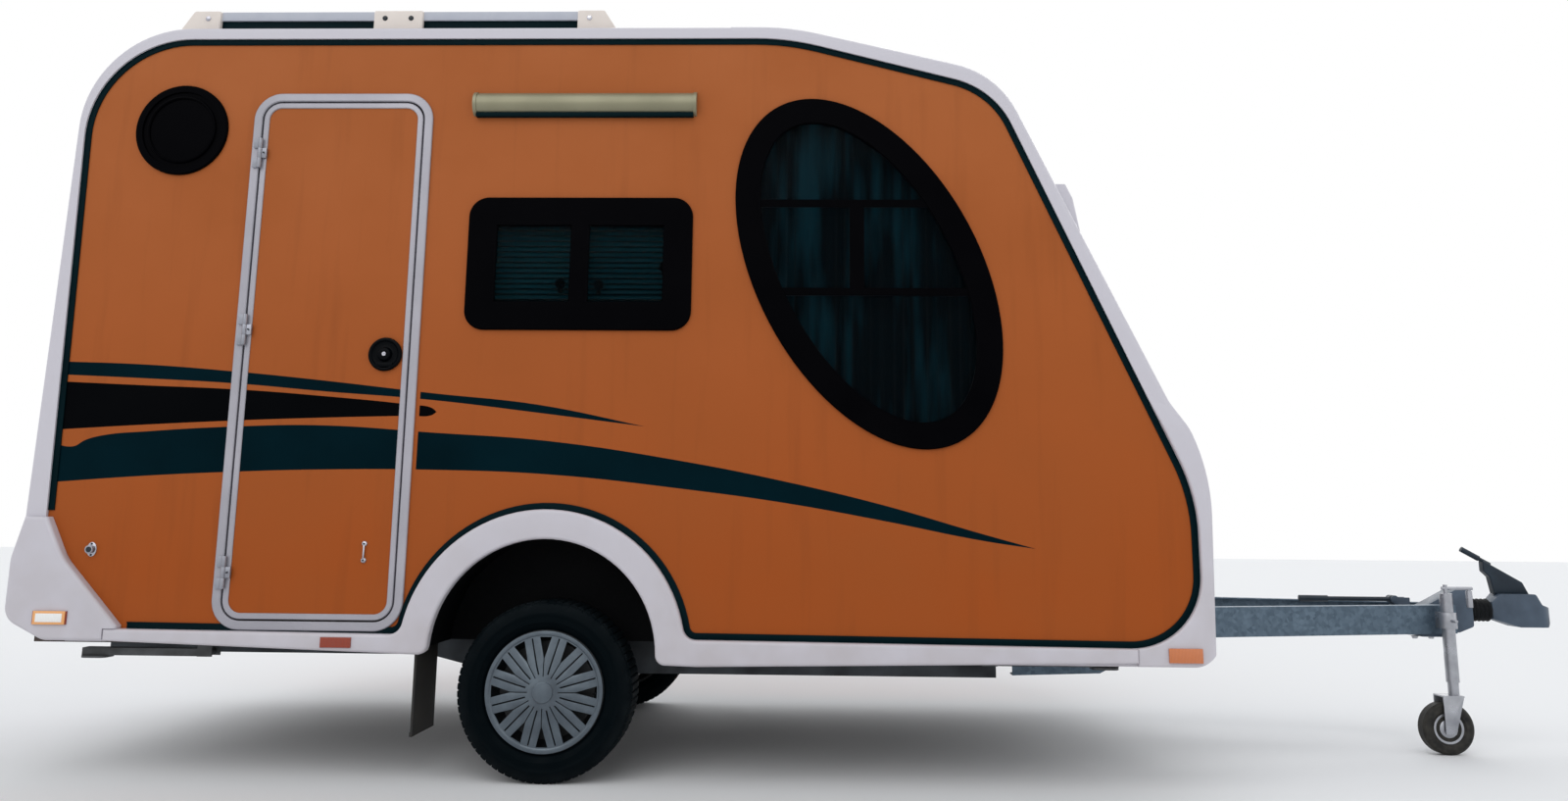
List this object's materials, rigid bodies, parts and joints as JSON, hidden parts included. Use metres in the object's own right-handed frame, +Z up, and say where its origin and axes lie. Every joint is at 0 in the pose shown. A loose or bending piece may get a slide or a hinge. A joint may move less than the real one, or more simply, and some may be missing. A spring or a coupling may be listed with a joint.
{
  "type": "teardrop caravan trailer",
  "caption": "Small single-axle caravan with a teardrop side, side door, oval and square windows, drawbar with ball coupling, jockey wheel and corner steadies.",
  "frame": {"origin": "on the ground, under the middle of the whole length, on the centre plane", "axes": "+X towards the coupling, +Y to the side without a door, +Z up"},
  "size_m": [5.7786, 2.032, 2.752],
  "materials": {
    "orange_panel": "smooth gloss panel",
    "white_shell": "white moulded gelcoat",
    "seal_rubber": "dark trim profile",
    "door_metal": "pale grey paint",
    "window_black": "black gloss",
    "window_glass": "dark tint",
    "blind_slats": "painted slats",
    "curtain_cloth": "woven",
    "rod_metal": "satin",
    "floor_board": "coated plywood",
    "wheel_box_black": "textured",
    "chassis_steel": "galvanised",
    "axle_steel": "black paint",
    "coupling_paint": "grey paint",
    "bellows_rubber": "black",
    "handle_paint": "dark paint",
    "tyre_rubber": "black",
    "rim_paint": "silver paint",
    "hubcap_plastic": "grey lacquer",
    "roof_rail_metal": "satin anodised",
    "hatch_white": "moulded",
    "lamp_metal": "champagne anodised",
    "lamp_red": "red lens",
    "lamp_amber": "amber lens",
    "flap_rubber": "black",
    "lock_black": "black",
    "jockey_steel": "zinc plated",
    "jockey_rubber": "solid tyre",
    "steady_steel": "black paint"
  },
  "bodies": {
    "trailer": {"side_wall_right": "orange_panel", "side_wall_left": "orange_panel", "rear_wall": "white_shell", "roof_panel": "white_shell", "front_shell": "white_shell", "nose_moulding": "white_shell", "sills": "white_shell", "rear_bumper": "white_shell", "edge_seals": "seal_rubber", "door_frame": "door_metal", "door_wall_fittings": "door_metal", "side_window_frames": "window_black", "side_window_glass": "window_glass", "oval_window_frames": "window_black", "oval_window_glass": "window_glass", "portholes": "window_black", "end_window_frames": "window_black", "end_window_glass": "window_glass", "front_window_hood": "white_shell", "blinds": "blind_slats", "curtains": "curtain_cloth", "window_rods": "rod_metal", "floor_panel": "floor_board", "wheel_boxes": "wheel_box_black", "chassis_rails": "chassis_steel", "cross_members": "chassis_steel", "drawbar_arms": "chassis_steel", "axle_beam": "axle_steel", "trailing_arms": "axle_steel", "coupling_housing": "coupling_paint", "coupling_bellows": "bellows_rubber", "coupling_head": "coupling_paint", "coupling_handle": "handle_paint", "jockey_clamp": "jockey_steel", "jockey_tubes": "jockey_steel", "steady_brackets": "steady_steel", "roof_rails": "roof_rail_metal", "roof_hatch": "hatch_white", "awning_lamp": "lamp_metal", "tail_lamps": "lamp_red", "marker_lamps": "lamp_amber", "mud_flaps": "flap_rubber"},
    "door": {"door_edging": "door_metal", "door_panel": "orange_panel", "door_hinges": "door_metal", "door_fittings": "lock_black"},
    "wheel_right": {"tyre_right": "tyre_rubber", "rim_right": "rim_paint", "hubcap_right": "hubcap_plastic"},
    "wheel_left": {"tyre_left": "tyre_rubber", "rim_left": "rim_paint", "hubcap_left": "hubcap_plastic"},
    "handbrake": {"handbrake_lever": "handle_paint"},
    "jockey_fork": {"jockey_fork": "jockey_steel"},
    "jockey_wheel": {"jockey_wheel": "jockey_rubber"},
    "steady_leg_front_right": {"steady_leg_front_right": "steady_steel"},
    "steady_leg_front_left": {"steady_leg_front_left": "steady_steel"},
    "steady_leg_rear_right": {"steady_leg_rear_right": "steady_steel"},
    "steady_leg_rear_left": {"steady_leg_rear_left": "steady_steel"}
  },
  "joints": [
    {"name": "wheel_right_spin", "type": "hinge", "parent": "trailer", "child": "wheel_right", "pos_m": [-1.039, -0.865, 0.3], "axis": [0, 1, 0], "continuous": true},
    {"name": "wheel_left_spin", "type": "hinge", "parent": "trailer", "child": "wheel_left", "pos_m": [-1.039, 0.865, 0.3], "axis": [0, 1, 0], "continuous": true},
    {"name": "door_swing", "type": "hinge", "parent": "trailer", "child": "door", "pos_m": [-2.149, -0.9933, 0.494], "axis": [0, 0, -1], "range_deg": [0, 170]},
    {"name": "handbrake_lift", "type": "hinge", "parent": "trailer", "child": "handbrake", "pos_m": [2.261, 0, 0.583], "axis": [0, 1, 0], "range_deg": [0, 70]},
    {"name": "jockey_swivel", "type": "hinge", "parent": "trailer", "child": "jockey_fork", "pos_m": [2.399, -0.15921, 0.226], "axis": [0, 0, 1], "continuous": true},
    {"name": "jockey_wheel_spin", "type": "hinge", "parent": "jockey_fork", "child": "jockey_wheel", "pos_m": [2.357, -0.15921, 0.1], "axis": [0, 1, 0], "continuous": true},
    {"name": "steady_front_right_lower", "type": "hinge", "parent": "trailer", "child": "steady_leg_front_right", "pos_m": [0.481, -0.792, 0.4], "axis": [0, 1, 0], "range_deg": [0, 57]},
    {"name": "steady_front_left_lower", "type": "hinge", "parent": "trailer", "child": "steady_leg_front_left", "pos_m": [0.481, 0.792, 0.4], "axis": [0, 1, 0], "range_deg": [0, 57]},
    {"name": "steady_rear_right_lower", "type": "hinge", "parent": "trailer", "child": "steady_leg_rear_right", "pos_m": [-2.274, -0.792, 0.4], "axis": [0, -1, 0], "range_deg": [0, 57]},
    {"name": "steady_rear_left_lower", "type": "hinge", "parent": "trailer", "child": "steady_leg_rear_left", "pos_m": [-2.274, 0.792, 0.4], "axis": [0, -1, 0], "range_deg": [0, 57]}
  ]
}
